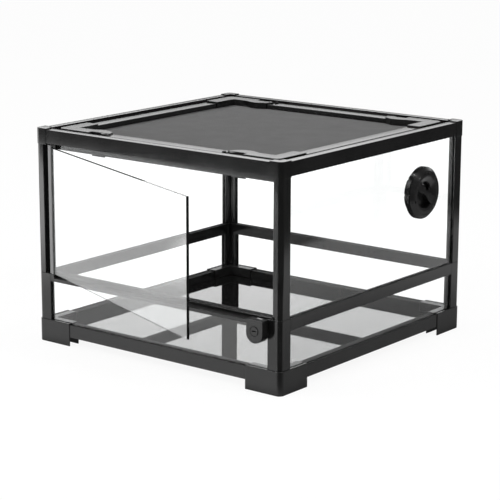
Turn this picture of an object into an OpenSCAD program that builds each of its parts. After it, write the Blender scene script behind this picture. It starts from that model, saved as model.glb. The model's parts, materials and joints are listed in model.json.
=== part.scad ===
// Front-opening glass terrarium: a low tank with an upper case on it, a single
// hinged glass door with a key lock, a turning vent and a lift-off screen lid.
// The origin is the centre of the footprint on the standing plane, +Z up and
// the door on the -Y side. All sizes are in millimetres.

/* [Case] */
// Width of the case between the post faces
case_w = 450; // [360:1:700]
// Depth of the case between the post faces
case_d = 450; // [360:1:700]
// Height of the top frame's rim
case_h = 320; // [280:1:600]
// Height of the joint between the tank and the upper case
base_h = 105; // [90:1:160]
// Radius of the outer upright corners
post_r = 6.5; // [3:0.5:8]

/* [Glass] */
// Thickness of the wall panes and the door
glass_t = 4; // [3:0.5:5]
// Thickness of the floor pane
floor_t = 4; // [3:0.5:6]
// Height of the floor pane's upper face
floor_top = 20; // [19:0.5:24]
// Distance of the panes' outer faces behind the post faces
pane_inset = 3; // [2:0.1:4]
// Clearance on each side of a pane in its groove
pane_slack = 0.1; // [0.05:0.01:0.3]

/* [Feet and bottom rails] */
// Height of the corner feet
foot_h = 34.4; // [32:0.1:40]
// Length of a foot's legs along the rails
foot_leg = 60; // [45:1:90]
// How far the feet stand out past the rails
foot_proud = 1.2; // [0.6:0.1:2]
// Wall of the feet
foot_wall = 2; // [1.5:0.1:3]
// Height of the bottom rails' lower face
rail_z = 13.5; // [12:0.1:15]
// Height of the bottom rails' section
rail_h = 19; // [17:0.5:24]
// Depth of the bottom rails from face to inside
rail_depth = 18; // [16:0.5:24]

/* [Posts] */
// Width of the tank posts on each side
lower_leg = 22.5; // [21:0.5:30]
// Width of the upper posts on the glazed sides
upper_leg = 20.5; // [19:0.5:28]
// Width of the front posts beside the door
door_leg = 13.5; // [12:0.5:16]
// Thickness of the posts' legs
post_t = 10.4; // [10.2:0.1:12]
// Radius of the pins that join the posts to their fittings
pin_r = 3; // [2:0.1:3.2]
// Radial clearance of those pins
pin_slack = 0.05; // [0.02:0.01:0.1]

/* [Middle rails] */
// Height of the middle rails
mid_h = 17; // [16.5:0.5:24]
// Depth of the middle rails at the sides and back
mid_depth = 12; // [11:0.5:18]
// Height of the front middle rail's lower edge above the others'
front_rise = 5.7; // [0:0.1:5.7]
// Depth of the front middle rail
front_depth = 20; // [18:0.5:28]
// Height of the lip that the closed door's lower edge meets
sill_lip = 1; // [0.5:0.1:4]
// Drop of the door sill below the middle rails' joint
sill_drop = 6.5; // [4:0.1:6.8]

/* [Top frame] */
// Height of the top frame's rails
top_h = 20.4; // [20:0.1:30]
// Width of the rim's upper face
rim_w = 12; // [9:0.5:14]
// Depth of the ledge that carries the lid, from the outer face
ledge_d = 22.5; // [22:0.5:32]
// Thickness of that ledge
ledge_t = 8; // [7:0.5:9.5]
// How far the top frame stands out past the posts
top_proud = 0.4; // [0.2:0.1:1]
// Length of the corner caps' legs
cap_leg = 20.5; // [19:0.5:21.5]
// Rise of the corner caps above the rim
cap_rise = 1.5; // [0.5:0.1:3]

/* [Door] */
// Angle that the door stands open at rest
door_angle = 21; // [0:1:80]
// Distance of the hinge axis from the tank post beside it
hinge_in = 2.3; // [2.3:0.1:8]
// Distance of the hinge axis behind the front face
hinge_d = 4.5; // [4.4:0.1:5]
// Radius of the hinge strip's barrel
barrel_r = 4.4; // [4.2:0.1:4.5]
// Width of the clamp on the glass, from the hinge axis
clamp_w = 7.5; // [7:0.5:14]
// Radius of the hinge pins
hinge_pin_r = 1.5; // [1.2:0.1:1.6]
// Depth of the rebate that the door closes into
rebate = 9.5; // [9.2:0.1:11]
// Clearance between the door's free edge and its post
door_gap = 0.6; // [0.4:0.1:2]

/* [Lock] */
// Distance of the lock's middle from the tank post beside it
lock_in = 11.7; // [11.5:0.1:40]
// Width of the lock's housing
lock_w = 28; // [26:0.5:34]
// How far the housing stands out of the rail
lock_depth = 14; // [13:0.5:18]
// Height of the housing's lowest point below the rails' joint
lock_drop = 33; // [31:0.5:36]
// Radius of the key cylinder
barrel_lock_r = 6.3; // [5.5:0.1:6.5]
// Offset of the cylinder's drive pin from its axis
drive_e = 4.3; // [3.5:0.1:4.5]
// Quarter turn of the key that raises the bolt
key_turn = 90; // [80:5:100]

/* [Vent] */
// Distance of the vent's axis from the case's back face
vent_in = 113.5; // [70:0.5:200]
// Distance of the vent's axis below the rim
vent_drop = 91.4; // [74:0.2:120]
// Radius of the vent's flange
flange_r = 38.5; // [37:0.5:48]
// Outer radius of the collar through the glass
collar_r = 27.5; // [26:0.1:28.5]
// Radius of the turning cap
cap_r = 31.3; // [30:0.1:33]
// Height of the turning cap above the side face
cap_top = 10.2; // [9:0.1:14]
// Slant of the cap's grip
grip_slant = 36; // [0:1:90]
// Width of the grip at its waist
grip_w = 6; // [4:0.5:9]

/* [Lid] */
// Gap between the ledge's edge and the lid's raised frame
lid_gap = 1; // [0.8:0.1:3]
// Width of the lid's raised frame
lid_w = 19.5; // [19:0.5:34]
// Drop of the lid rails' top below the rim
lid_drop = 2.5; // [2:0.5:4]
// Rise of the lid's corner pieces above its rails
corner_rise = 2.5; // [1:0.5:2.5]
// Length of the corner pieces' legs along front and back
corner_long = 96.5; // [92:0.5:110]
// Length of the corner pieces' legs along the sides
corner_short = 62; // [36:1:90]
// Distance of the clips' notches from the corner pieces' long ends
clip_end = 3; // [2:0.5:8]
// Width of those notches
notch_w = 34; // [30:1:36]
// Travel of a lid clip from released to locked
clip_travel = 4; // [3:0.5:4.5]
// Thickness of the screen's sheet
mesh_t = 0.8; // [0.6:0.1:1.2]

/* [Hidden] */
$fn = 64;
fit = 0.1;            // clearance all round between plugged pieces
lift_gap = 0.2;       // clearance under pieces that lift or slide
pin_len = 12;         // length of the posts' pins
pin_at = 6.4;         // both distances of a post's pin from the outer faces
skirt = 1.5;          // drop of the corner caps over the posts' ends
frame_pin = 2;        // length of those pins inside the piece that carries them
groove_at = 14.5;     // start of the posts' pane grooves, from the corner
pane_end = 15;        // upright edges of the wall panes, from the corner
rail_top = rail_z + rail_h;
hollow_z = 11.5;      // height of the feet's open underside
tenon_in = 24;        // inner end of the bottom rails' tenons, from the corner
skin = foot_wall - foot_proud;
floor_edge = 12.5;    // edge of the floor pane, from the outer faces
floor_z = floor_top - floor_t;
seat_z = rail_top - 10;       // foot of the tank panes' grooves
mid_z = base_h - mid_h;
sill_z = base_h - sill_drop;
front_z = mid_z + front_rise;
tank_seat = mid_z + 7;        // roof of the grooves over the tank panes
front_seat = sill_z - 2;      // that of the front tank pane
case_seat = base_h - 5;       // floor of the grooves under the case panes
lip_z = base_h + sill_lip;
lip_slope = 1.8;              // height and depth of the slope on that lip
recess = 6;                   // depth of the dark recess under it
top_z = case_h - top_h;
ledge_z = top_z + ledge_t;
rim_tongue = 8;       // reach of the top rails' tongues into the caps
rim_tongue_d = [pane_inset, pane_inset + 4];
rim_tongue_z = [ledge_z + 2, case_h - 4];
groove_d = pane_inset - pane_slack;
groove_w = glass_t + 2 * pane_slack;
stop_t = 4;           // thickness of the lips that stop the door
stop_reach = 8.6;     // reach of the top frame's lip below the rail
door_z = [lip_z - 0.7, top_z - 5.9];
hinge_x = lower_leg + hinge_in;
hinge_pad = 5;        // reach of the seat under the hinge, past its axis
door_w = case_w - hinge_x - door_leg - door_gap;
axis_x = -case_w / 2 + hinge_x;
axis_y = -case_d / 2 + hinge_d;
hinge_bore_r = hinge_pin_r + pin_slack;
hinge_sink = 5;       // depth of the hinge pins in their bores
lock_x = lower_leg + lock_in;
lock_r = lock_w / 2;
lock_top = base_h - 0.3;
key_z = base_h - 16;
bolt_t = 3.5;         // thickness of the bolt
bolt_gap = 0.3;       // clearance in front of and behind it
bolt_half = 4.5;      // half width of the bolt's tongue
drive_r = 1.4;        // radius of the cylinder's drive pin
drive_dx = drive_e * cos(key_turn / 2);
drive_dz = drive_e * sin(key_turn / 2);
plate_half = 7.6;     // half width of the space for the bolt's plate
peg_r = 1.5;
peg_x = plate_half + peg_r + 0.3;  // the housing's pegs, from its middle
peg_z = (front_z + sill_z) / 2;
peg_len = 2.3;
seal_w = 4;           // width of the strip that the door closes against
seal_t = 2.3;         // its thickness
seal_in = 1.4;        // its distance from the front post's inner edge
magnet_r = 2;
magnet_out = 2.1;     // how far the magnet stands out of its seat
magnet_sink = 2.3;    // its depth in that seat
magnet_x = upper_leg - 3;
magnet_z = base_h + 2.6;
vent_y = case_d / 2 - vent_in;
vent_z = case_h - vent_drop;
vent_gap = 0.3;       // clearance between the vent's cap and body
collar_wall = 2.7;
gasket_t = 0.8;
nut_t = 3.5;
wall_z = 4.4;         // top of the flange's wall, from the side face
well_r = cap_r + 0.4; // well that the cap turns in
well_z = 4.5;         // its floor
web_z = [-pane_inset - 1, -pane_inset + 1];  // web across the vent's bore
pivot_r = 2;
port_r = [3.6, 17];   // inner and outer radius of the vent's ports
port_angle = 90;
cone_r = 26;          // outer radius of the cap's conical dish
grip_turn = 90 - grip_slant;  // turn of the cap from the flange's own x axis
pointer_at = 233;     // the rim's pointer notch, from the grip
marks_at = 119;       // the middle one of its three marks
lid_in = ledge_d + lid_gap;
lid_z = ledge_z + lift_gap;
lid_top = case_h - lid_drop;
flange_t = 2.8;       // thickness of the lid's resting flange
flange_in = rim_w + 1.5;
lid_end = lid_in + lid_w;
corner_top = lid_top + corner_rise;
corner_in = lid_end + 2;      // inner edge of the lid's corner pieces
mesh_z = lid_z + 1.4;
mesh_edge = lid_end - 4;
tongue_d = [lid_in + 10, lid_in + 15];
tongue_lid_z = [mesh_z + mesh_t + 1, lid_top - 3];
tongue_long = 18;     // reach of the front and back rails' tongues
tongue_short = 10;    // reach of the side rails' tongues
notch_x = lid_in + corner_long - clip_end - notch_w / 2;
notch = [lid_in - 2, lid_in + 8];
leg_x = [-16, 8];     // a clip's leg, from the middle of its notch
leg_y = lid_in + 5;   // outer face of that leg at rest
leg_t = 2.6;
leg_drop = 15;        // reach of that leg below the rails' underside
hook_z = [top_z - 4.5, top_z - 0.4];

black = "#222426";
clear = [0.82, 0.9, 0.9, 0.35];
steel = "#b9bcc0";
grey = "#77797c";

SIDES = ["front", "back", "left", "right"];

// ---- Places ---------------------------------------------------------------

// Whether a side runs from left to right, its length and its distance from the middle
function crossing(side) = side == "front" || side == "back";
function side_len(side) = crossing(side) ? case_w : case_d;
function side_off(side) = (crossing(side) ? case_d : case_w) / 2;
function side_turn(side) = side == "front" ? 0 : side == "right" ? 90 : side == "back" ? 180 : 270;

// Roof of the groove over a tank pane
function pane_roof(side) = side == "front" ? front_seat : tank_seat;

// Takes x along a side, y inwards from its outer face
module on_side(side) {
    rotate([0, 0, side_turn(side)])
        translate([0, -side_off(side), 0])
            children();
}

// Takes x and y inwards from the two outer faces that meet at a corner
module on_corner(right, back) {
    translate([(right ? 1 : -1) * case_w / 2, (back ? 1 : -1) * case_d / 2, 0])
        flip([1, 0, 0], right)
            flip([0, 1, 0], back)
                children();
}

module flip(axis, on) {
    if (on)
        mirror(axis)
            children();
    else
        children();
}

// Takes z outwards from the right face, at the vent's axis
module on_vent() {
    translate([case_w / 2, vent_y, vent_z])
        rotate([0, 90, 0])
            children();
}

// ---- Shared shapes --------------------------------------------------------

module block(x, y, z) {
    translate([x[0], y[0], z[0]])
        cube([x[1] - x[0], y[1] - y[0], z[1] - z[0]]);
}

module pane_2d(x, y) {
    translate([x[0], y[0]])
        square([x[1] - x[0], y[1] - y[0]]);
}

// Extrudes a section drawn as (depth, height) along x
module bar(x) {
    translate([x[0], 0, 0])
        rotate([90, 0, 90])
            linear_extrude(x[1] - x[0])
                children();
}

module pillar(z) {
    translate([0, 0, z[0]])
        linear_extrude(z[1] - z[0])
            children();
}

module rod(r, z) {
    translate([0, 0, z[0]])
        cylinder(r = r, h = z[1] - z[0]);
}

module ring(r_out, r_in, z) {
    difference() {
        rod(r_out, z);
        rod(r_in, [z[0] - 1, z[1] + 1]);
    }
}

// Cuts the square corner at the origin back to a radius
module round_corner_2d(r, at = 0) {
    difference() {
        translate([at - 1, at - 1])
            square(r + 1);
        translate([at + r, at + r])
            circle(r);
    }
}

// A square with its outer corner at (-out, -out), rounded about the posts' centre
module corner_2d(leg, out = 0) {
    difference() {
        pane_2d([-out, leg], [-out, leg]);
        round_corner_2d(post_r + out, -out);
    }
}

// An L of two legs of the same length along the two faces
module ell_2d(leg, depth, out = 0) {
    difference() {
        corner_2d(leg, out);
        pane_2d([depth, leg + 1], [depth, leg + 1]);
    }
}

// Pane grooves at the ends of a corner piece's legs
module groove_2d(leg, along_x = true, along_y = true) {
    if (along_x)
        pane_2d([groove_at, leg + 1], [groove_d, groove_d + groove_w]);
    if (along_y)
        pane_2d([groove_d, groove_d + groove_w], [groove_at, leg + 1]);
}

module pin_hole_2d() {
    translate([pin_at, pin_at])
        circle(pin_r + pin_slack);
}

// ---- Tank -----------------------------------------------------------------

module foot(right, back) {
    inner = rail_depth + foot_proud;
    color(black)
        on_corner(right, back) {
            difference() {
                pillar([0, foot_h])
                    ell_2d(foot_leg, inner, foot_proud);
                // open underside
                pillar([-1, hollow_z])
                    ell_2d(foot_leg + 1, inner - foot_wall, -skin);
                // sockets for the rail tenons
                foot_socket();
                flip_diagonal()
                    foot_socket();
                // slots for the tank panes and the floor pane
                pillar([seat_z - fit, foot_h + 1])
                    groove_2d(foot_leg);
                block([floor_edge - fit, foot_leg + 1], [floor_edge - fit, foot_leg + 1],
                      [floor_z - fit, floor_top + fit]);
            }
            translate([pin_at, pin_at, 0])
                rod(pin_r, [foot_h - frame_pin, foot_h + pin_len]);
        }
}

// Swaps x and y
module flip_diagonal() {
    mirror([1, -1, 0])
        children();
}

module foot_socket() {
    block([tenon_in - fit, foot_leg + 1], [skin, rail_depth + foot_proud - foot_wall],
          [rail_z - fit, rail_top - 1 + fit]);
}

module rail_grooves_2d() {
    pane_2d([groove_d, groove_d + groove_w], [seat_z, rail_top + 1]);
    pane_2d([floor_edge - 0.5, rail_depth + 1], [floor_z - fit, floor_top + fit]);
}

module bottom_rail(side) {
    half = side_len(side) / 2;
    tenon = [skin + fit, rail_depth + foot_proud - foot_wall - fit];
    color(black)
        on_side(side) {
            bar([-half + foot_leg, half - foot_leg])
                difference() {
                    pane_2d([0, rail_depth], [rail_z, rail_top]);
                    rail_grooves_2d();
                }
            bar([-half + tenon_in, half - tenon_in])
                difference() {
                    pane_2d(tenon, [rail_z, rail_top - 1]);
                    rail_grooves_2d();
                }
        }
}

module floor_glass() {
    color(clear)
        block([-case_w / 2 + floor_edge, case_w / 2 - floor_edge],
              [-case_d / 2 + floor_edge, case_d / 2 - floor_edge], [floor_z, floor_top]);
}

module lower_post(right, back) {
    color(black)
        on_corner(right, back) {
            difference() {
                pillar([foot_h, base_h])
                    difference() {
                        ell_2d(lower_leg, post_t);
                        groove_2d(lower_leg);
                    }
                pillar([foot_h - 1, foot_h + pin_len + 0.5])
                    pin_hole_2d();
            }
            translate([pin_at, pin_at, 0])
                rod(pin_r, [base_h - frame_pin, base_h + pin_len]);
        }
}

module lower_glass(side) {
    half = side_len(side) / 2;
    color(clear)
        on_side(side)
            block([-half + pane_end, half - pane_end], [pane_inset, pane_inset + glass_t],
                  [seat_z + 0.5, pane_roof(side) - 0.5]);
}

// Section of the front middle rail: the sill, the recess behind it and the lip
module front_rail_2d() {
    polygon([
        [0, front_z], [0, sill_z], [rebate + recess, sill_z], [rebate + recess, lip_z - lip_slope],
        [rebate, lip_z - lip_slope], [rebate + lip_slope, lip_z], [front_depth, lip_z],
        [front_depth, front_z]
    ]);
}

// Section of a middle rail without its pane grooves
module mid_rail_2d(side) {
    if (side == "front")
        front_rail_2d();
    else
        pane_2d([0, mid_depth], [mid_z, base_h]);
}

module mid_rail(side) {
    half = side_len(side) / 2;
    front = side == "front";
    // the front and back rails fill the inner corners, the side rails meet them
    inner_half = crossing(side) ? half - post_t - fit : half - front_depth;
    tongue_top = front ? sill_z : case_seat - 0.2;
    color(black)
        on_side(side)
            difference() {
                union() {
                    bar([-half + lower_leg, half - lower_leg])
                        difference() {
                            mid_rail_2d(side);
                            pane_2d([groove_d, groove_d + groove_w], [mid_z - 1, pane_roof(side)]);
                            if (!front)
                                pane_2d([groove_d, groove_d + groove_w], [case_seat, base_h + 1]);
                        }
                    bar([-inner_half, inner_half])
                        intersection() {
                            mid_rail_2d(side);
                            pane_2d([post_t + fit, front_depth], [mid_z, base_h]);
                        }
                    bar([-half + pane_end, half - pane_end])
                        pane_2d([pane_inset, pane_inset + glass_t], [pane_roof(side) + 0.2, tongue_top]);
                    // seat under the hinge, which closes the recess there
                    if (front)
                        block([-half + lower_leg, -half + hinge_x + hinge_pad],
                              [0, rebate + recess + 1], [sill_z - 1, base_h]);
                }
                if (front) {
                    // lower hinge bore and the lock's peg holes
                    translate([-half + hinge_x, hinge_d, 0])
                        rod(hinge_bore_r, [base_h - hinge_sink - 0.5, base_h + 1]);
                    for (side_x = [-1, 1])
                        translate([half - lock_x + side_x * peg_x, -1, peg_z])
                            rotate([-90, 0, 0])
                                rod(peg_r + pin_slack, [0, 1 + peg_len + 0.2]);
                }
            }
}

// ---- Upper case -----------------------------------------------------------

module upper_post(right, back) {
    color(black)
        on_corner(right, back)
            difference() {
                pillar([base_h, top_z])
                    difference() {
                        if (back)
                            ell_2d(upper_leg, post_t);
                        else
                            front_post_2d();
                        groove_2d(upper_leg, along_x = back);
                        pin_hole_2d();
                    }
                // seat of the door magnet
                if (right && !back)
                    translate([magnet_x, rebate - 1, magnet_z])
                        rotate([-90, 0, 0])
                            rod(magnet_r + pin_slack, [0, 1 + magnet_sink + 0.2]);
            }
}

// Front post: a narrow leg beside the door, with the lip that the door meets
module front_post_2d() {
    intersection() {
        corner_2d(upper_leg);
        union() {
            pane_2d([0, door_leg], [0, rebate]);
            pane_2d([0, upper_leg], [rebate, rebate + stop_t]);
            pane_2d([0, post_t], [0, upper_leg]);
        }
    }
}

module upper_glass(side) {
    half = side_len(side) / 2;
    color(clear)
        difference() {
            on_side(side)
                block([-half + pane_end, half - pane_end], [pane_inset, pane_inset + glass_t],
                      [case_seat + 0.3, ledge_z - 0.5]);
            if (side == "right")
                on_vent()
                    rod(collar_r + 0.4, [-pane_inset - glass_t - 1, -pane_inset + 1]);
        }
}

module top_rail(side) {
    half = side_len(side) / 2;
    front = side == "front";
    ledge_half = half - (crossing(side) ? cap_leg : ledge_d);
    color(black)
        on_side(side)
            difference() {
                union() {
                    bar([-half + cap_leg, half - cap_leg])
                        pane_2d([-top_proud, rim_w], [top_z, case_h]);
                    bar([-ledge_half, ledge_half])
                        pane_2d([rim_w - 1, ledge_d], [top_z, ledge_z]);
                    bar([-half + cap_leg - rim_tongue, half - cap_leg + rim_tongue])
                        pane_2d(rim_tongue_d, rim_tongue_z);
                    if (front)
                        bar([-half + upper_leg + fit, half - upper_leg - fit])
                            pane_2d([rebate, rebate + stop_t], [top_z - stop_reach, top_z + 1]);
                }
                if (front)
                    translate([-half + hinge_x, hinge_d, 0])
                        rod(hinge_bore_r, [top_z - 1, top_z + hinge_sink + 0.5]);
                else
                    bar([-half, half])
                        pane_2d([groove_d, groove_d + groove_w], [top_z - 1, ledge_z]);
            }
}

module top_cap(right, back) {
    color(black)
        on_corner(right, back) {
            difference() {
                union() {
                    pillar([top_z, case_h + cap_rise])
                        ell_2d(cap_leg, rim_w, 2 * top_proud);
                    pillar([top_z, ledge_z])
                        corner_2d(cap_leg);
                    pillar([top_z - skirt, top_z + 1])
                        difference() {
                            corner_2d(cap_leg, 2 * top_proud);
                            corner_2d(cap_leg + 1, fit);
                        }
                    // side ledge beyond the leg, up to the side rail's ledge
                    block([rim_w, ledge_d], [cap_leg - 1, ledge_d], [top_z, ledge_z]);
                }
                // the front and back rails' ledges run past the leg's end
                block([cap_leg, ledge_d + 1], [-1, ledge_d + 1], [top_z - 1, ledge_z + 1]);
                pillar([top_z - 1, ledge_z])
                    groove_2d(cap_leg, along_x = back);
                // sockets for the rails' tongues
                cap_socket();
                flip_diagonal()
                    cap_socket();
            }
            translate([pin_at, pin_at, 0])
                rod(pin_r, [top_z - pin_len, top_z + frame_pin]);
        }
}

module cap_socket() {
    block([cap_leg - rim_tongue - 0.2, cap_leg + 1], [rim_tongue_d[0] - fit, rim_tongue_d[1] + fit],
          [rim_tongue_z[0] - fit, rim_tongue_z[1] + fit]);
}

// ---- Door -----------------------------------------------------------------

// Takes x along the door from the hinge axis, y through its thickness
module on_door() {
    translate([axis_x, axis_y, 0])
        rotate([0, 0, -door_angle])
            children();
}

module door_glass() {
    color(clear)
        on_door()
            block([hinge_pin_r + 0.8, door_w], [-glass_t / 2, glass_t / 2], door_z);
}

module door_hinge_strip() {
    z = [door_z[0] + 0.1, top_z - skirt - 0.4];
    slot = glass_t / 2 + 0.05;
    color(grey)
        on_door() {
            pillar(z)
                difference() {
                    union() {
                        circle(barrel_r);
                        pane_2d([0, clamp_w], [-barrel_r + 0.4, barrel_r - 0.4]);
                    }
                    pane_2d([hinge_pin_r + 0.7, clamp_w + 1], [-slot, slot]);
                }
            rod(hinge_pin_r, [base_h - hinge_sink, z[0] + 2]);
            rod(hinge_pin_r, [z[1] - 2, top_z + hinge_sink]);
        }
}

module door_seal() {
    color(grey)
        on_corner(true, false)
            block([upper_leg - seal_in - seal_w, upper_leg - seal_in], [rebate - seal_t, rebate],
                  [magnet_z + 5, top_z - stop_reach - 1]);
}

module door_magnet() {
    color(steel)
        on_corner(true, false)
            translate([magnet_x, rebate - magnet_out, magnet_z])
                rotate([-90, 0, 0])
                    rod(magnet_r, [0, magnet_out + magnet_sink]);
}

// ---- Lock -----------------------------------------------------------------

// Takes x and z from the key's axis, y inwards from the case's front face
module on_lock() {
    translate([case_w / 2 - lock_x, -case_d / 2, key_z])
        children();
}

module lock_outline_2d() {
    low = base_h - lock_drop - key_z;
    translate([0, low + lock_r])
        circle(lock_r);
    pane_2d([-lock_r, lock_r], [low + lock_r, lock_top - key_z]);
}

// Extrudes a shape drawn in x and z from y[0] to y[1]
module slab(y) {
    translate([0, y[1], 0])
        rotate([90, 0, 0])
            linear_extrude(y[1] - y[0])
                children();
}

module lock_housing() {
    back = bolt_t + 0.5;      // depth of the space behind the cylinder
    plate = [drive_dz + drive_r + 2, drive_dz + drive_r + 3.4];
    color(black)
        on_lock() {
            difference() {
                slab([-lock_depth, 0])
                    lock_outline_2d();
                // bore for the cylinder with its countersunk rim
                slab([-lock_depth - 1, 0])
                    circle(barrel_lock_r + 0.06);
                slab([-lock_depth - 1, -lock_depth + 0.8])
                    circle(barrel_lock_r + 1.1);
                // guide for the bolt
                slab([-back, 1])
                    pane_2d([-bolt_half - 0.2, bolt_half + 0.2], [-plate[0], lock_top - key_z + 1]);
                slab([-back, 1])
                    pane_2d([-plate_half, plate_half], [-plate[0], plate[1]]);
            }
            for (side_x = [-1, 1])
                translate([side_x * peg_x, -1, peg_z - key_z])
                    rotate([-90, 0, 0])
                        rod(peg_r, [0, 1 + peg_len]);
        }
}

module lock_cylinder() {
    back = bolt_t + 0.6;
    color(steel)
        on_lock() {
            difference() {
                slab([-lock_depth - 0.4, -back])
                    circle(barrel_lock_r);
                // key slot
                slab([-lock_depth - 2, -lock_depth + 5])
                    pane_2d([-3.3, 3.3], [-0.9, 0.9]);
            }
            translate([drive_dx, 0, -drive_dz])
                slab([-back - 1, -1])
                    circle(drive_r);
        }
}

module lock_bolt() {
    slot = drive_r + bolt_gap;
    color(steel)
        on_lock()
            difference() {
                slab([-bolt_t - bolt_gap, -bolt_gap]) {
                    pane_2d([-bolt_half, bolt_half], [-drive_dz, lock_top - key_z - 0.3]);
                    pane_2d([-plate_half + 0.2, plate_half - 0.2],
                            [-drive_dz - drive_r - 1.8, -drive_dz + drive_r + 3]);
                }
                slab([-bolt_t - 1, 1])
                    pane_2d([drive_dx - slot, drive_e + slot], [-drive_dz - slot, -drive_dz + slot]);
            }
}

// ---- Vent -----------------------------------------------------------------

// A sector between the two port radii, centred on the x axis
module port_2d() {
    far = 2 * port_r[1];
    intersection() {
        difference() {
            circle(port_r[1]);
            circle(port_r[0]);
        }
        polygon([
            [0, 0], [far * cos(port_angle / 2), -far * sin(port_angle / 2)],
            [far * cos(port_angle / 2), far * sin(port_angle / 2)]
        ]);
    }
}

module vent_gasket() {
    color(grey)
        on_vent()
            ring(flange_r - 1.5, collar_r + 0.8, [-pane_inset, -pane_inset + gasket_t]);
}

// Flange with a sloping face, the well for the cap and the collar through the glass
module vent_body() {
    bore_r = collar_r - collar_wall;
    end_z = -pane_inset - glass_t - nut_t - 1.5;
    flange_z = -pane_inset + gasket_t;
    ring_z = cap_top - 0.2;
    color(black)
        on_vent() {
            rotate_extrude()
                polygon([
                    [bore_r, end_z], [collar_r, end_z], [collar_r, flange_z], [flange_r, flange_z],
                    [flange_r, wall_z], [flange_r - 1.4, wall_z], [flange_r - 1.4, wall_z + 0.8],
                    [flange_r - 0.3, wall_z + 1], [well_r + 1.4, ring_z], [well_r, ring_z],
                    [well_r, well_z], [bore_r, well_z]
                ]);
            // web with the fixed port and the pivot's hole
            difference() {
                rod(bore_r + 1, web_z);
                pillar([web_z[0] - 1, web_z[1] + 1])
                    rotate(180 - grip_slant)
                        port_2d();
                rod(pivot_r + pin_slack, [web_z[0] - 1, web_z[1] + 1]);
            }
            // mark that the cap's notch points at
            rotate(grip_turn + pointer_at)
                translate([(well_r + flange_r) / 2 - 1, 0, (wall_z + ring_z) / 2 + 1])
                    cube([4, 1.4, 2], center = true);
        }
}

module vent_nut() {
    inner = -pane_inset - glass_t;
    nut_r = collar_r + 4.5;
    color(black)
        on_vent()
            difference() {
                ring(nut_r, collar_r + fit, [inner - nut_t, inner]);
                for (step = [0 : 7])
                    rotate(step * 45)
                        translate([nut_r + 0.6, 0, 0])
                            rod(2, [inner - nut_t - 1, inner + 1]);
            }
}

// The turning cap, with its grip along x: a conical dish with the port above the
// grip, a round pocket below it, and a pivot snapped into the body's web
module vent_cap() {
    low = web_z[1] + vent_gap;
    shell_t = 1.8;
    rim_low = well_z + vent_gap;
    plug_r = collar_r - collar_wall - 0.5;
    pocket_r = plug_r - 1.6;
    grip_r = 23.5;            // radius of the grip's waisted sides
    grip_end = 2 * grip_w;    // width of its ends
    color(black)
        on_vent()
            rotate(grip_turn) {
                difference() {
                    union() {
                        rotate_extrude()
                            polygon([
                                [0, low], [pivot_r + 1, low], [plug_r - 1.8, rim_low - 1.8],
                                [plug_r, rim_low], [cap_r, rim_low], [cap_r, cap_top - 0.8],
                                [cap_r - 0.8, cap_top], [cone_r, cap_top],
                                [pivot_r + 1, low + shell_t], [0, low + shell_t]
                            ]);
                        pillar([low, rim_low + 1])
                            lower_half_2d(plug_r);
                    }
                    pillar([low + shell_t, cap_top + 1])
                        lower_half_2d(pocket_r);
                    pillar([low - 1, cap_top + 1])
                        rotate(90)
                            port_2d();
                    // pointer notch and three marks in the rim
                    rotate(pointer_at)
                        translate([cap_r - 1.2, 0, cap_top])
                            rotate(45)
                                cube([2.8, 2.8, 3], center = true);
                    for (step = [-1 : 1])
                        rotate(marks_at + step * 15)
                            translate([cap_r - 2.2, 0, cap_top])
                                cube([4.6, 1.5, 2.4], center = true);
                }
                pillar([low + shell_t - 0.5, cap_top - 0.6])
                    difference() {
                        intersection() {
                            circle(plug_r);
                            square([2 * plug_r, grip_end], center = true);
                        }
                        for (side_y = [-1, 1])
                            translate([0, side_y * (grip_r + grip_w / 2)])
                                circle(grip_r);
                    }
                rod(pivot_r, [web_z[0] - 2, low + 1]);
                rod(pivot_r + 1, [web_z[0] - 2, web_z[0] - vent_gap]);
            }
}

// Half of a disc, below the grip
module lower_half_2d(r) {
    intersection() {
        circle(r);
        translate([-r, -r])
            square([2 * r, r]);
    }
}

// ---- Lid ------------------------------------------------------------------

// Plan of a corner piece's raised part, long leg along x, with its slanted end
module lid_corner_2d() {
    end_x = lid_in + corner_long;
    slant = 9;                // run of the slanted end
    swell = 6;                // swelling beside the clip
    swell_x = [for (at = [9, -2, -14, -28]) notch_x + at];  // its ends and its full stretch
    difference() {
        union() {
            polygon([
                [ledge_d, ledge_d], [end_x, ledge_d], [end_x - slant, corner_in],
                [swell_x[0], corner_in], [swell_x[1], corner_in + swell],
                [swell_x[2], corner_in + swell], [swell_x[3], corner_in], [ledge_d, corner_in]
            ]);
            pane_2d([ledge_d, corner_in], [ledge_d, lid_in + corner_short]);
        }
        round_corner_2d(10, ledge_d);
    }
}

// Plan of its resting flange
module lid_flange_2d() {
    difference() {
        union() {
            pane_2d([flange_in, lid_in + corner_long], [flange_in, lid_in]);
            pane_2d([flange_in, lid_in], [flange_in, lid_in + corner_short]);
        }
        round_corner_2d(5, flange_in);
    }
}

module lid_corner(right, back) {
    clip_room = 0.3;
    color(black)
        on_corner(right, back)
            difference() {
                union() {
                    pillar([lid_z, corner_top])
                        lid_corner_2d();
                    pillar([lid_z, lid_z + flange_t])
                        lid_flange_2d();
                }
                // the clip's notch, and the way for its leg through the floor
                translate([notch_x, 0, 0]) {
                    block([-notch_w / 2, notch_w / 2], notch, [lid_z + flange_t, corner_top + 1]);
                    block([leg_x[0] - clip_room, leg_x[1] + clip_room],
                          [leg_y - clip_travel - clip_room, leg_y + leg_t + clip_room],
                          [lid_z - 1, corner_top + 1]);
                }
                block([mesh_edge - fit, case_w], [mesh_edge - fit, case_d],
                      [mesh_z - fit, mesh_z + mesh_t + fit]);
                // sockets for the rails' tongues
                lid_socket(corner_long, tongue_long);
                flip_diagonal()
                    lid_socket(corner_short, tongue_short);
            }
}

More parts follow.
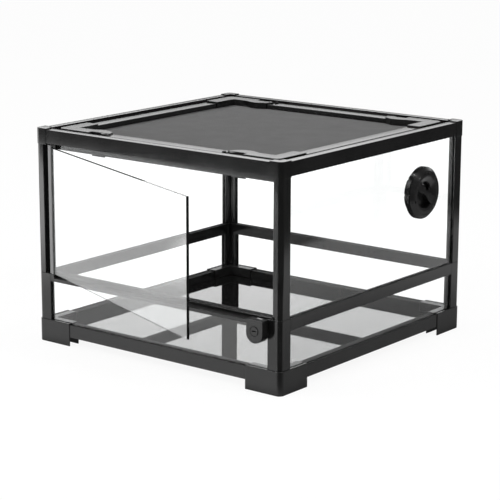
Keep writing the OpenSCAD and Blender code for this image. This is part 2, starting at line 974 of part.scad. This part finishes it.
// Socket in a leg that reaches to length from the lid's frame
module lid_socket(length, tongue) {
    block([lid_in + length - tongue - 1, lid_in + length + 1],
          [tongue_d[0] - fit, tongue_d[1] + fit], [tongue_lid_z[0] - fit, tongue_lid_z[1] + fit]);
}

module lid_rail(side) {
    half = side_len(side) / 2;
    end = half - lid_in - (crossing(side) ? corner_long : corner_short);
    tongue = crossing(side) ? tongue_long : tongue_short;
    behind = 30;              // depth of the cut that clears what is left past the corner pieces
    color(black)
        on_side(side) {
            difference() {
                union() {
                    pillar([lid_z, lid_top])
                        pane_2d([-half, half], [lid_in, lid_end]);
                    pillar([lid_z, lid_z + flange_t])
                        pane_2d([-half, half], [flange_in, lid_in + 1]);
                }
                for (far = [false, true])
                    flip([1, 0, 0], far)
                        translate([-half, 0, 0])
                            pillar([lid_z - 1, case_h]) {
                                lid_end_2d(crossing(side));
                                pane_2d([-1, half - end - behind], [-1, lid_end + 1]);
                            }
                block([-half, half], [mesh_edge - fit, lid_end + 1],
                      [mesh_z - fit, mesh_z + mesh_t + fit]);
            }
            block([-end - tongue, end + tongue], tongue_d, tongue_lid_z);
        }
}

// What a corner piece takes from the end of a rail
module lid_end_2d(along_x) {
    if (along_x) {
        lid_corner_2d();
        lid_flange_2d();
    } else
        flip_diagonal() {
            lid_corner_2d();
            lid_flange_2d();
        }
}

module lid_mesh() {
    color(grey)
        block([-case_w / 2 + mesh_edge, case_w / 2 - mesh_edge],
              [-case_d / 2 + mesh_edge, case_d / 2 - mesh_edge], [mesh_z, mesh_z + mesh_t]);
}

// A spring clip, drawn released: it moves outwards to lock under the ledge
module lid_clip(right, back) {
    shoulder_z = lid_z + flange_t + lift_gap;
    shoulder = notch_w / 2 - 0.5;
    tab_y = [notch[1] - lift_gap, leg_y - 3];
    tab_x = [1, 13];          // the finger tab's root
    tip_x = [5, 8];           // and its tip
    color(black)
        on_corner(right, back)
            translate([notch_x, 0, 0]) {
                // shoulder on the notch's floor
                block([-shoulder, shoulder], [tab_y[1], tab_y[0]], [shoulder_z, shoulder_z + 2.2]);
                // leg through the floor, and its hook
                block(leg_x, [leg_y, leg_y + leg_t], [top_z - leg_drop, shoulder_z + 1]);
                block(leg_x, [ledge_d + 0.5, leg_y + leg_t], hook_z);
                // finger tab
                pillar([shoulder_z + 1, corner_top - 0.5])
                    polygon([
                        [tab_x[0], tab_y[0]], [tab_x[1], tab_y[0]], [tip_x[1], tab_y[1]],
                        [tip_x[0], tab_y[1]]
                    ]);
            }
}

// ---- Nodes ----------------------------------------------------------------

foot(false, false);  // foot_fl
foot(true, false);  // foot_fr
foot(false, true);  // foot_bl
foot(true, true);  // foot_br
for (side = SIDES) {
    bottom_rail(side);
    lower_glass(side);
    mid_rail(side);
    top_rail(side);
    lid_rail(side);
}
floor_glass();
lower_post(false, false);  // lower_post_fl
lower_post(true, false);  // lower_post_fr
lower_post(false, true);  // lower_post_bl
lower_post(true, true);  // lower_post_br
upper_post(false, false);  // upper_post_fl
upper_post(true, false);  // upper_post_fr
upper_post(false, true);  // upper_post_bl
upper_post(true, true);  // upper_post_br
upper_glass("back");  // upper_glass_back
upper_glass("left");  // upper_glass_left
upper_glass("right");  // upper_glass_right
top_cap(false, false);  // top_cap_fl
top_cap(true, false);  // top_cap_fr
top_cap(false, true);  // top_cap_bl
top_cap(true, true);  // top_cap_br
door_seal();
door_magnet();
door_glass();
door_hinge_strip();
lock_housing();
lock_cylinder();
lock_bolt();
vent_gasket();
vent_body();
vent_nut();
vent_cap();
lid_corner(false, false);  // lid_corner_fl
lid_corner(true, false);  // lid_corner_fr
lid_corner(false, true);  // lid_corner_bl
lid_corner(true, true);  // lid_corner_br
lid_mesh();
lid_clip(false, false);  // lid_clip_fl
lid_clip(true, false);  // lid_clip_fr
lid_clip(false, true);  // lid_clip_bl
lid_clip(true, true);  // lid_clip_br
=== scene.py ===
import json
from math import pi, radians

import bmesh
import bpy
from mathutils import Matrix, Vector
from mathutils.bvhtree import BVHTree


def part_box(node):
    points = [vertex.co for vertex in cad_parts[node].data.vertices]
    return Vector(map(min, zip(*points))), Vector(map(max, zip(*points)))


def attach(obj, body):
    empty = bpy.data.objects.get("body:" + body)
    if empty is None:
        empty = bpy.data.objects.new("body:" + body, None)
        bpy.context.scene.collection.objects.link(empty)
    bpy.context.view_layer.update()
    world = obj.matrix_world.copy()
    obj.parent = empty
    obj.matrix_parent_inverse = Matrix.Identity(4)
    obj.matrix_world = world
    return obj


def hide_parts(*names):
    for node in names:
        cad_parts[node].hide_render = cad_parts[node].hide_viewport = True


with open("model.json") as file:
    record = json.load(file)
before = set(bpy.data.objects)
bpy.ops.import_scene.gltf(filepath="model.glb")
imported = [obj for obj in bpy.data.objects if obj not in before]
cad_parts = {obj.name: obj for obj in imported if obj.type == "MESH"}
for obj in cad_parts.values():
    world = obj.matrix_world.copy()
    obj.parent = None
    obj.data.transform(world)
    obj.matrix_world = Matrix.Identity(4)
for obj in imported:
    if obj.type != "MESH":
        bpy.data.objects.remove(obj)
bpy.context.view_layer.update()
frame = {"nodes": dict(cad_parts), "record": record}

MM = 0.001
LEDGE_TOP = 0.2  # in metres: above the middle rails, below the top ones
BODY_OF = {
    node: body
    for body, nodes in frame["record"]["behaviour"]["bodies"].items()
    for node in nodes
}
SLOT_OF = {row["node"]: row["material_slot"] for row in frame["record"]["subparts"]}


# ---- Nodes and finishes -----------------------------------------------------


class Link:
    """A socket that can stand in a Python expression."""

    def __init__(self, nodes, socket):
        self.nodes, self.socket = nodes, socket

    def math(self, operation, *values):
        return self.nodes.add("ShaderNodeMath", {"operation": operation}, dict(enumerate(values)))

    def __add__(self, other):
        return self.math("ADD", self, other)

    def __sub__(self, other):
        return self.math("SUBTRACT", self, other)

    def __mul__(self, other):
        return self.math("MULTIPLY", self, other)

    def __truediv__(self, other):
        return self.math("DIVIDE", self, other)

    def __pow__(self, other):
        return self.math("POWER", self, other)

    def __rsub__(self, other):
        return self.math("SUBTRACT", other, self)

    def __rtruediv__(self, other):
        return self.math("DIVIDE", other, self)

    def __lt__(self, other):
        return self.math("LESS_THAN", self, other)

    def __abs__(self):
        return self.math("ABSOLUTE", self)

    __radd__ = __add__
    __rmul__ = __mul__

    def at_least(self, other):
        return self.math("MAXIMUM", self, other)

    def at_most(self, other):
        return self.math("MINIMUM", self, other)

    def step(self, low, high):
        """0 below low, 1 above high, smooth between them."""
        return self.nodes.add(
            "ShaderNodeMapRange",
            {"interpolation_type": "SMOOTHSTEP"},
            {"Value": self, "From Min": low, "From Max": high},
        )

    def parts(self):
        """The three numbers of a vector."""
        split = self.nodes.add("ShaderNodeSeparateXYZ", {}, {0: self})
        return [Link(self.nodes, socket) for socket in split.socket.node.outputs]


class Nodes:
    """Makes the nodes of one tree."""

    def __init__(self, tree):
        self.tree = tree
        tree.nodes.clear()

    def add(self, kind, settings={}, sockets={}, out=0):
        """A node of this type, with its settings, and with values or links in its sockets."""
        node = self.tree.nodes.new(kind)
        for name, value in settings.items():
            setattr(node, name, value)
        for name, value in sockets.items():
            if isinstance(value, Link):
                self.tree.links.new(value.socket, node.inputs[name])
            else:
                node.inputs[name].default_value = value
        return Link(self, node.outputs[out]) if len(node.outputs) else None

    def place(self):
        """Where a point lies in the object's own frame, in metres."""
        return self.add("ShaderNodeTexCoord", out="Object")

    def noise(self, place, size, detail=3.0, roughness=0.55):
        """Noise whose blobs are about this size in metres."""
        return self.add(
            "ShaderNodeTexNoise",
            sockets={"Vector": place, "Scale": 1 / size, "Detail": detail, "Roughness": roughness},
        )

    def blend(self, factor, first, second):
        """Two colours mixed."""
        return self.add(
            "ShaderNodeMix", {"data_type": "RGBA"}, {0: factor, 6: first, 7: second}, out=2
        )

    def bump(self, height, depth):
        """Depth in metres for a height of 1."""
        return self.add("ShaderNodeBump", sockets={"Distance": depth, "Height": height})

    def gloss(self, **sockets):
        """A Principled shader, with underscores for the spaces in its sockets' names."""
        names = {name.replace("_", " "): value for name, value in sockets.items()}
        return self.add("ShaderNodeBsdfPrincipled", sockets=names)

    def surface(self, shader):
        self.add("ShaderNodeOutputMaterial", sockets={"Surface": shader})


def finish(name):
    """A new material and its empty tree."""
    material = bpy.data.materials.new(name)
    material.use_nodes = True
    return material, Nodes(material.node_tree)


def grey(level, warmth=0.0):
    """A grey, or with some warmth a yellowish one."""
    return (level * (1 + warmth), level, level * (1 - warmth), 1)


def moulded(name, colour, roughness, grain=0.45, depth=0.006, cloud=0.25, dull_ledges=0.0):
    """Injection-moulded plastic: spark-eroded grain in mm, and a faint cloudiness.

    Ledges that face up inside the lower part of the case can be duller.
    """
    material, nodes = finish(name)
    place = nodes.place()
    height = place.parts()[2]
    upward = nodes.add("ShaderNodeTexCoord", out="Normal").parts()[2]
    ledge = upward.step(0.75, 0.85) * (height < LEDGE_TOP) * dull_ledges
    pits = nodes.noise(place, grain * MM, 2.0, 0.6)
    haze = nodes.noise(place, 0.055, 4.0, 0.6)
    tone = nodes.blend(
        haze.step(0.3, 0.7),
        tuple(c * (1 - cloud) for c in colour[:3]) + (1,),
        tuple(c * (1 + cloud) for c in colour[:3]) + (1,),
    )
    nodes.surface(
        nodes.gloss(
            Base_Color=tone,
            Roughness=(roughness + (haze - 0.5) * 0.1 + (pits - 0.5) * 0.06).at_least(ledge),
            IOR=1.5,
            Normal=nodes.bump(pits, depth * MM),
        )
    )
    return material


def glass_sheet(name, tint, ior):
    """Clear glass that lets shadow rays through."""
    material, nodes = finish(name)
    clear = nodes.gloss(Base_Color=tint, Roughness=0.0, IOR=ior, Transmission_Weight=1.0)
    open_way = nodes.add("ShaderNodeBsdfTransparent", sockets={"Color": (0.95, 0.957, 0.956, 1)})
    shadow = nodes.add("ShaderNodeLightPath", out="Is Shadow Ray")
    nodes.surface(nodes.add("ShaderNodeMixShader", sockets={0: shadow, 1: clear, 2: open_way}))
    return material


def cut_edge(name, deep, pale):
    """The ground edge of a pane: deep green inside, with grinding lines along it."""
    material, nodes = finish(name)
    place = nodes.place()
    lines = nodes.noise(place, 0.0007, 2.0, 0.7)
    haze = nodes.noise(place, 0.02, 3.0, 0.6)
    nodes.surface(
        nodes.gloss(
            Base_Color=nodes.blend(haze.step(0.3, 0.7), deep, pale),
            Roughness=0.22 + lines * 0.12,
            IOR=1.5,
            Normal=nodes.bump(lines, 0.01 * MM),
        )
    )
    return material


def glass_over_painted_shade(name):
    """The floor pane: glass over painted shade, a near-black base colour that stands in for the
    shadow under the case, so it mirrors the case.
    """
    material, nodes = finish(name)
    place = nodes.place()
    haze = nodes.noise(place, 0.09, 4.0, 0.6)
    wave = nodes.noise(place, 0.3, 1.0, 0.5)
    nodes.surface(
        nodes.gloss(
            # painted shade: the near-black base colour stands in for the shadow under the case, seen
            # through the glass
            Base_Color=nodes.blend(haze.step(0.3, 0.7), grey(0.004), grey(0.006)),
            Roughness=0.015 + haze.step(0.35, 0.75) * 0.02,
            IOR=1.4,
            Coat_Weight=0.6,
            Coat_Roughness=0.0,
            Coat_IOR=1.45,
            Normal=nodes.bump(wave, 0.02 * MM),
        )
    )
    return material


def extruded(name, colour, roughness):
    """Extruded upright strip: drawing lines along it."""
    material, nodes = finish(name)
    stretch = (1.0, 1.0, 0.02)
    place = nodes.add("ShaderNodeMapping", sockets={"Vector": nodes.place(), "Scale": stretch})
    lines = nodes.noise(place, 0.0006, 2.0, 0.6)
    haze = nodes.noise(nodes.place(), 0.04, 3.0, 0.6)
    dark = tuple(c * 0.86 for c in colour[:3]) + (1,)
    nodes.surface(
        nodes.gloss(
            Base_Color=nodes.blend(haze.step(0.3, 0.7) * 0.6 + lines * 0.4, dark, colour),
            Roughness=roughness + (lines - 0.5) * 0.14,
            IOR=1.48,
            Normal=nodes.bump(lines, 0.015 * MM),
        )
    )
    return material


def turned_steel(name, level, roughness):
    """Bare steel with fine tool marks."""
    material, nodes = finish(name)
    place = nodes.place()
    marks = nodes.noise(place, 0.0004, 3.0, 0.6)
    haze = nodes.noise(place, 0.006, 3.0, 0.6)
    nodes.surface(
        nodes.gloss(
            Base_Color=nodes.blend(haze, grey(level * 0.85), grey(level, 0.01)),
            Metallic=1.0,
            Roughness=roughness + (marks - 0.5) * 0.2,
            Normal=nodes.bump(marks, 0.006 * MM),
        )
    )
    return material


def coated_wire(name, colour):
    """Wire with a baked coat: a faint cloudiness and tiny runs."""
    material, nodes = finish(name)
    place = nodes.place()
    runs = nodes.noise(place, 0.0012, 2.0, 0.6)
    cloud = nodes.noise(place, 0.03, 4.0, 0.62)
    dark = tuple(c * 0.92 for c in colour[:3]) + (1,)
    pale = tuple(c * 1.06 for c in colour[:3]) + (1,)
    nodes.surface(
        nodes.gloss(
            Base_Color=nodes.blend(cloud.step(0.25, 0.75), dark, pale),
            Roughness=0.5 + (runs - 0.5) * 0.2,
            IOR=1.5,
            Normal=nodes.bump(runs, 0.02 * MM),
        )
    )
    return material


FINISHES = {
    "frame_plastic": moulded("black_frame_moulding", grey(0.007), 0.11, dull_ledges=0.75),
    "foot_plastic": moulded("black_foot_moulding", grey(0.009), 0.3, 0.6, 0.012),
    "lid_plastic": moulded("black_lid_moulding", grey(0.007), 0.17),
    "vent_plastic": moulded("black_vent_moulding", grey(0.008), 0.2, 0.4, 0.005),
    "lock_plastic": moulded("black_lock_moulding", grey(0.009), 0.26, 0.4, 0.006, dull_ledges=0.75),
    "key_metal": moulded("black_coated_key_metal", grey(0.009), 0.24, 0.4, 0.004),
    "hinge_plastic": extruded("grey_hinge_extrusion", grey(0.2), 0.34),
    "seal_plastic": extruded("grey_seal_strip", grey(0.19), 0.42),
    "gasket_rubber": moulded("vent_gasket_rubber", grey(0.02), 0.62, 0.8, 0.03),
    "steel": turned_steel("satin_steel", 0.6, 0.28),
    "screen": coated_wire("coated_screen_wire", grey(0.13)),
    "glass": glass_sheet("float_glass", (0.988, 0.993, 0.992, 1), 1.5),
    "floor_pane": glass_over_painted_shade("floor_glass_over_painted_shade"),
    "door_glass": glass_sheet("door_glass_clear", (0.972, 0.985, 0.984, 1), 1.9),
}
PANE_SLOTS = ("glass", "floor_pane", "door_glass")
PANE_EDGE = cut_edge("ground_pane_edge", (0.012, 0.06, 0.052, 1), (0.03, 0.12, 0.105, 1))
DOOR_EDGE = cut_edge("polished_door_edge", (0.008, 0.035, 0.034, 1), (0.02, 0.075, 0.07, 1))


# ---- Pieces -----------------------------------------------------------------


SAME_POINT = 2e-6  # metres between corners that are one
FLAT_WITHIN = radians(0.6)  # turn below which two faces are one
SMOOTH_BELOW = radians(25)  # turn below which an edge is part of a curved surface
ROOM_BESIDE = 2.2  # a face next to a rounded edge is wider than this many roundings
STRAY_LIMIT = 0.9  # share of its width that a rounding may lie off the CAD surface
LEAST_ROUNDING = 0.2  # mm
LARGE_FACE_PULL = 80  # in percent, how much large faces keep their own direction
ALONG_PANE = 0.99  # a face whose direction agrees with the pane's by this much isn't an edge
CORNER_ABOVE = radians(60)  # turn above which an edge of a pane is a corner
PANE_CHAMFER = 0.35  # mm
MESH_PITCH = 1.6  # mm from wire to wire
WIRE = 0.42  # mm


def piece(name, mesh, body, slot, node, materials=None):
    """Puts a mesh in the scene as the piece that stands for a CAD node."""
    made = bpy.data.objects.new(name, mesh)
    bpy.context.scene.collection.objects.link(made)
    mesh.materials.clear()
    for material in materials or [FINISHES[slot]]:
        mesh.materials.append(material)
    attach(made, body)
    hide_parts(node)


def welded(node):
    """A copy of a CAD node's mesh, joined up, with its flat faces whole."""
    form = bmesh.new()
    form.from_mesh(frame["nodes"][node].data)
    bmesh.ops.remove_doubles(form, verts=form.verts, dist=SAME_POINT)
    bmesh.ops.dissolve_limit(
        form, angle_limit=FLAT_WITHIN, verts=form.verts, edges=form.edges
    )
    return form


def breadth(face, edge):
    """How far a face reaches from one of its edges."""
    start = edge.verts[0].co
    along = (edge.verts[1].co - start).normalized()
    return max(
        ((v.co - start) - along * (v.co - start).dot(along)).length for v in face.verts
    )


def softened(node, width):
    """A welded copy whose outer corners are rounded to this width in mm."""
    form = welded(node)
    width *= MM
    surface = BVHTree.FromBMesh(form)
    picked = []
    for edge in form.edges:
        if len(edge.link_faces) != 2:
            continue
        turn = edge.calc_face_angle()
        edge.smooth = turn < SMOOTH_BELOW
        if edge.smooth or not edge.is_convex:
            continue
        if min(breadth(face, edge) for face in edge.link_faces) > ROOM_BESIDE * width:
            picked.append(edge)
            edge.smooth = True
    if picked:
        bmesh.ops.bevel(
            form, geom=picked, offset=width, offset_type="OFFSET", segments=2,
            profile=0.5, affect="EDGES", clamp_overlap=False,
        )
    strayed = 0.0
    for vert in form.verts:
        found = surface.find_nearest(vert.co)
        if found[0] is not None:
            strayed = max(strayed, found[3])
    if strayed > STRAY_LIMIT * width:
        form.free()
        if width > LEAST_ROUNDING * MM:
            return softened(node, width / MM / 2)
        print("left sharp:", node)
        form = welded(node)
        for edge in form.edges:
            edge.smooth = len(edge.link_faces) == 2 and edge.calc_face_angle() < SMOOTH_BELOW
    return form


def levelled(name, form):
    """The form as a mesh whose large faces shade flat and whose roundings shade smooth."""
    raw = bpy.data.meshes.new(name)
    form.to_mesh(raw)
    form.free()
    raw.polygons.foreach_set("use_smooth", [True] * len(raw.polygons))
    holder = bpy.data.objects.new(name + "_raw", raw)
    bpy.context.scene.collection.objects.link(holder)
    weight = holder.modifiers.new("faces", "WEIGHTED_NORMAL")
    weight.keep_sharp = True
    weight.weight = LARGE_FACE_PULL
    graph = bpy.context.evaluated_depsgraph_get()
    mesh = bpy.data.meshes.new_from_object(holder.evaluated_get(graph))
    bpy.data.objects.remove(holder)
    mesh.name = name
    return mesh


# how far each kind of piece has its corners rounded, in mm
SOFTEN = {
    "foot_": 0.7, "bottom_rail_": 0.35, "mid_rail_": 0.35, "top_rail_": 0.45,
    "lower_post_": 0.5, "upper_post_": 0.5, "top_cap_": 0.5, "door_seal": 0.4,
    "door_hinge": 0.4, "door_magnet": 0.2, "lock_housing": 0.5, "lock_cylinder": 0.2,
    "lock_bolt": 0.3, "vent_": 0.35, "lid_rail_": 0.8, "lid_corner_": 0.8, "lid_clip_": 0.4,
}


def width_for(node):
    """The rounding of a node's corners in mm."""
    return next(width for start, width in SOFTEN.items() if node.startswith(start))


def make_mouldings():
    """Every plastic and metal piece gets the small roundings of its mould."""
    for node, slot in SLOT_OF.items():
        if slot in PANE_SLOTS or slot == "screen":
            continue
        mesh = levelled(node + "_moulded", softened(node, width_for(node)))
        piece(node + "_moulded", mesh, BODY_OF[node], slot, node)


def make_panes():
    """Panes with ground edges and small chamfers."""
    for node, slot in SLOT_OF.items():
        if slot not in PANE_SLOTS:
            continue
        form = welded(node)
        broad = max(form.faces, key=lambda face: face.calc_area()).normal.copy()
        for face in form.faces:
            face.material_index = 0 if abs(face.normal.dot(broad)) > ALONG_PANE else 1
        corners = [
            edge
            for edge in form.edges
            if len(edge.link_faces) == 2
            and edge.calc_face_angle() > CORNER_ABOVE
            and edge.is_convex
            and edge.link_faces[0].material_index != edge.link_faces[1].material_index
        ]
        bmesh.ops.bevel(
            form, geom=corners, offset=PANE_CHAMFER * MM, offset_type="OFFSET", segments=1,
            affect="EDGES", material=1,
        )
        mesh = bpy.data.meshes.new(node + "_cut")
        form.to_mesh(mesh)
        form.free()
        edge = DOOR_EDGE if slot == "door_glass" else PANE_EDGE
        piece(
            node + "_cut", mesh, BODY_OF[node], slot, node, materials=[FINISHES[slot], edge]
        )


def screen_tree():
    """Two crossing layers of straight wires."""
    tree = bpy.data.node_groups.new("woven_screen", "GeometryNodeTree")
    face = tree.interface
    names = {}
    for name, kind in (
        ("Width", "NodeSocketFloat"), ("Depth", "NodeSocketFloat"), ("Wire", "NodeSocketFloat"),
        ("Across", "NodeSocketInt"), ("Along", "NodeSocketInt"), ("Place", "NodeSocketVector"),
        ("Finish", "NodeSocketMaterial"),
    ):
        names[name] = face.new_socket(name, in_out="INPUT", socket_type=kind).identifier
    face.new_socket("Geometry", in_out="OUTPUT", socket_type="NodeSocketGeometry")
    nodes = Nodes(tree)
    given = nodes.add("NodeGroupInput").socket.node

    def value(name):
        return Link(nodes, given.outputs[name])

    def vector(x=0.0, y=0.0, z=0.0):
        return nodes.add("ShaderNodeCombineXYZ", sockets={0: x, 1: y, 2: z})

    def layer(length, spread, count, turn, lift, crossing):
        gap = spread / count
        start = gap * 0.5 - spread * 0.5
        line = nodes.add(
            "GeometryNodeMeshLine",
            sockets={
                "Count": count,
                "Start Location": vector(y=start) if crossing else vector(x=start),
                "Offset": vector(y=gap) if crossing else vector(x=gap),
            },
        )
        wire = nodes.add(
            "GeometryNodeMeshCylinder",
            {"fill_type": "NONE"},
            {"Vertices": 6, "Radius": value("Wire") * 0.5, "Depth": length},
        )
        wire = nodes.add(
            "GeometryNodeTransform", sockets={"Geometry": wire, "Rotation": turn}
        )
        laid = nodes.add("GeometryNodeInstanceOnPoints", sockets={"Points": line, "Instance": wire})
        return nodes.add(
            "GeometryNodeTransform", sockets={"Geometry": laid, "Translation": vector(z=lift)}
        )

    half = value("Wire") * 0.46  # the layers sink into each other a little
    both = nodes.add("GeometryNodeJoinGeometry").socket.node
    for length, spread, count, turn, lift, crossing in (
        (value("Width"), value("Depth"), value("Across"), (0, pi / 2, 0), half, True),
        (value("Depth"), value("Width"), value("Along"), (pi / 2, 0, 0), half * -1, False),
    ):
        made = layer(length, spread, count, turn, lift, crossing)
        tree.links.new(made.socket, both.inputs[0])
    placed = nodes.add(
        "GeometryNodeTransform",
        sockets={"Geometry": Link(nodes, both.outputs[0]), "Translation": value("Place")},
    )
    real = nodes.add("GeometryNodeRealizeInstances", sockets={0: placed})
    painted = nodes.add(
        "GeometryNodeSetMaterial", sockets={"Geometry": real, "Material": value("Finish")}
    )
    nodes.add("NodeGroupOutput", sockets={"Geometry": painted})
    return tree, names


def make_screen():
    """The lid's screen, in wires that the lid's CAD sheet stands for."""
    low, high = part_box("lid_mesh")
    size = high - low
    pitch = MESH_PITCH * MM
    tree, names = screen_tree()
    holder = bpy.data.objects.new("screen_raw", bpy.data.meshes.new("screen_raw"))
    bpy.context.scene.collection.objects.link(holder)
    weave = holder.modifiers.new("weave", "NODES")
    weave.node_group = tree
    for name, value in (
        ("Width", size.x), ("Depth", size.y), ("Wire", WIRE * MM),
        ("Across", round(size.y / pitch)), ("Along", round(size.x / pitch)),
        ("Place", (low + high) / 2), ("Finish", FINISHES["screen"]),
    ):
        weave[names[name]] = value
    graph = bpy.context.evaluated_depsgraph_get()
    mesh = bpy.data.meshes.new_from_object(holder.evaluated_get(graph))
    bpy.data.objects.remove(holder)
    mesh.polygons.foreach_set("use_smooth", [True] * len(mesh.polygons))
    piece("screen_wires", mesh, "lid", "screen", "lid_mesh")


# ---- Studio -----------------------------------------------------------------


AMBIENT = 0.74  # strength of what lights the object from all round
BEHIND_GLASS = 1.3  # makes up for what the panes in front of the background take away
PAPER_GLOW = 0.86  # strength of the light that the paper gives by itself
CASE_HALF = 0.22  # metres from the middle to just inside the case's faces
POOL_EDGE = (-0.02, 0.04)  # metres over which a pool of light begins at the case
DIM = 0.08  # the mirrored paper outside the pools


def sees(nodes):
    """1 for rays that meet the surroundings straight, more behind glass; and 1 for mirrored ones."""
    path = nodes.add("ShaderNodeLightPath").socket.node
    straight = Link(nodes, path.outputs["Is Camera Ray"])
    through = Link(nodes, path.outputs["Is Transmission Ray"])
    mirrored = Link(nodes, path.outputs["Glossy Depth"]).at_most(1)
    return straight.at_least(through * BEHIND_GLASS) * (1 - mirrored), mirrored


def sky_strength(nodes):
    """White where it is seen, even where it lights the object, and shaped where it is mirrored."""
    clear, mirrored = sees(nodes)
    x, y, z = nodes.add("ShaderNodeTexCoord", out="Generated").parts()
    # a long softbox behind and to the left, over a black flag that reaches the floor
    behind = (x * -0.62 + y * 0.785).step(0.5, 0.85)
    over_flag = z.step(0.15, 0.165)
    flag = 1 - behind * (1 - over_flag)
    softbox = behind * over_flag * (1 - z.step(0.55, 0.8)) * 1.55
    overhead = z.step(0.8, 0.9) * 1.2  # for the rounded edges
    walls = 0.3 - x.step(0.0, 0.6) * 0.15
    shown = walls * flag + softbox + overhead
    return AMBIENT + (clear - AMBIENT).at_least(0.0) + mirrored * (shown - AMBIENT)


def mirrored_paper(x, y):
    """Pools of light on the paper, as the object mirrors them."""
    forward = y * -1 - CASE_HALF
    outward = x - CASE_HALF
    leftward = x * -1 - CASE_HALF
    # in front: brighter far to the left, but not where the open door mirrors it; it ends where
    # the top rail would begin to mirror it
    beyond_door = (forward + x * 0.36).step(-0.05, 0.05)
    front = (x * -1).step(0.35, 0.85) * beyond_door * 2.4 + 1.27
    front = front * (1 + forward.step(0.15, 0.45) * 0.3)
    front = front * forward.step(*POOL_EDGE) * (1 - (outward + forward * 0.5).step(0.0, 0.05))
    front = front * (1 - forward.step(1.05, 1.16) * 0.95)
    # on the right: dark where the upper front post mirrors it, and dimmer close to the case
    gloom = outward.step(0.49, 0.54) * (1 - (y - outward * 1.4).step(0.0, 0.2))
    right = outward.step(*POOL_EDGE) * (y + CASE_HALF - outward * 0.36).step(-0.05, 0.0)
    right = right * (1 - y.step(0.8, 1.0)) * (1 - gloom * 0.95) * 0.75
    ahead = (abs(y) - CASE_HALF).at_least(0.0)
    beside = (abs(x) - CASE_HALF).at_least(0.0)
    away = (ahead * ahead + beside * beside) ** 0.5
    shade = 1 - outward.step(-0.02, 0.0) * (1 - away.step(0.1, 0.4)) * 0.55
    left = leftward.step(*POOL_EDGE) * (1 - forward.step(*POOL_EDGE)) * 0.65
    return front + right * shade + left + DIM


def studio_paper():
    """White paper that keeps a faint shadow where it is seen."""
    material, nodes = finish("studio_paper")
    clear, mirrored = sees(nodes)
    x, y, _ = nodes.place().parts()
    seen = clear * 1.065 + mirrored * mirrored_paper(x, y)
    paper = nodes.add("ShaderNodeBsdfDiffuse", sockets={"Color": grey(0.8)})
    lit = nodes.add(
        "ShaderNodeEmission", sockets={"Color": grey(1.0), "Strength": seen * PAPER_GLOW}
    )
    nothing = nodes.add("ShaderNodeEmission", sockets={"Color": grey(0.0), "Strength": 0.0})
    thinned = nodes.add(
        "ShaderNodeMixShader", sockets={0: clear.at_most(1) * 0.9, 1: paper, 2: nothing}
    )
    unmirrored = nodes.add("ShaderNodeMixShader", sockets={0: mirrored, 1: thinned, 2: nothing})
    nodes.surface(nodes.add("ShaderNodeAddShader", sockets={0: unmirrored, 1: lit}))
    return material


def make_room():
    """The white studio: a world of softboxes and a floor of paper."""
    world = bpy.data.worlds.new("studio")
    bpy.context.scene.world = world
    world.use_nodes = True
    nodes = Nodes(world.node_tree)
    glow = {"Color": grey(1.0), "Strength": sky_strength(nodes)}
    back = nodes.add("ShaderNodeBackground", sockets=glow)
    nodes.add("ShaderNodeOutputWorld", sockets={"Surface": back})

    floor = bpy.data.meshes.new("studio_floor")
    reach = 14.0
    floor.from_pydata(
        [(-reach, -reach, 0), (reach, -reach, 0), (reach, reach, 0), (-reach, reach, 0)],
        [], [(0, 1, 2, 3)],
    )
    floor.materials.append(studio_paper())
    ground = bpy.data.objects.new("studio_floor", floor)
    bpy.context.scene.collection.objects.link(ground)


def aim(thing, target):
    """Turns a lamp to face a point."""
    thing.rotation_euler = (Vector(target) - thing.location).to_track_quat("-Z", "Y").to_euler()


def make_lamp(name, place, target, size, power):
    """A rectangular lamp in metres and watts."""
    lamp = bpy.data.lights.new(name, "AREA")
    lamp.shape, lamp.size, lamp.size_y, lamp.energy = "RECTANGLE", *size, power
    holder = bpy.data.objects.new(name, lamp)
    holder.location = place
    bpy.context.scene.collection.objects.link(holder)
    aim(holder, target)


def make_camera():
    """The photo's camera, fitted to the case's eight corners."""
    lens = bpy.data.cameras.new("photo_camera")
    lens.sensor_width, lens.sensor_fit, lens.lens = 36, "HORIZONTAL", 131.22
    lens.shift_x = 0.05
    camera = bpy.data.objects.new("photo_camera", lens)
    camera.location = (1.6397, -2.0976, 0.755)
    camera.rotation_euler = (radians(90 - 13.222), 0, radians(38.888))
    bpy.context.scene.collection.objects.link(camera)
    bpy.context.scene.camera = camera


make_mouldings()
make_panes()
make_screen()
make_room()
case_middle = (0, 0, 0.15)
vent_middle = (0.235, 0.11, 0.23)  # the small lamp glints on its rings
make_lamp("key", (-1.4, -2.0, 2.2), case_middle, (1.6, 1.6), 38)
make_lamp("spark", (1.2, 0.1, 1.6), vent_middle, (0.25, 0.25), 9)
make_camera()

view = bpy.context.scene.view_settings
view.view_transform = "Standard"
cycles = bpy.context.scene.cycles
cycles.max_bounces = 16
cycles.transmission_bounces = 16
cycles.glossy_bounces = 6
cycles.diffuse_bounces = 3
cycles.transparent_max_bounces = 16
